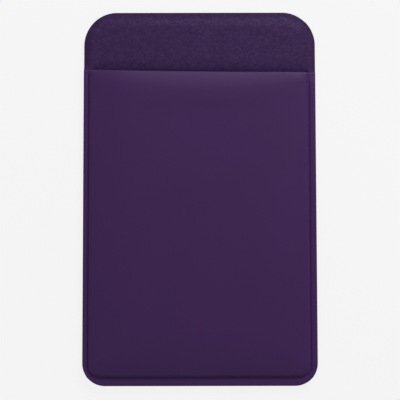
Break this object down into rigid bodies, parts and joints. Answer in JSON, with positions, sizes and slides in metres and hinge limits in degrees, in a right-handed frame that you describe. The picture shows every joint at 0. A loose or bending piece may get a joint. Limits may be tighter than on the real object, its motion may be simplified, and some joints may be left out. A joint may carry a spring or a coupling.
{
  "type": "stick-on phone card holder",
  "caption": "Slim stick-on card pocket for a phone: a smooth stretch front welded to a grained backing along its sides and foot, open at the head, over an adhesive pad and its peel-off liner.",
  "frame": {"origin": "on the surface that the holder lies on, under the middle of its outline", "axes": "+Y from the welded foot to the head, past the pocket's open mouth; +Z out of the front; +X to the right as seen from the front with the head up"},
  "size_m": [0.0606, 0.096, 0.0037],
  "materials": {
    "grained_backing": "satin",
    "stretch_front": "satin",
    "adhesive": "satin",
    "liner_paper": "satin"
  },
  "bodies": {
    "root": {"release_liner": "liner_paper", "adhesive_pad": "adhesive", "back_panel": "grained_backing", "pocket_front": "stretch_front"}
  },
  "joints": []
}
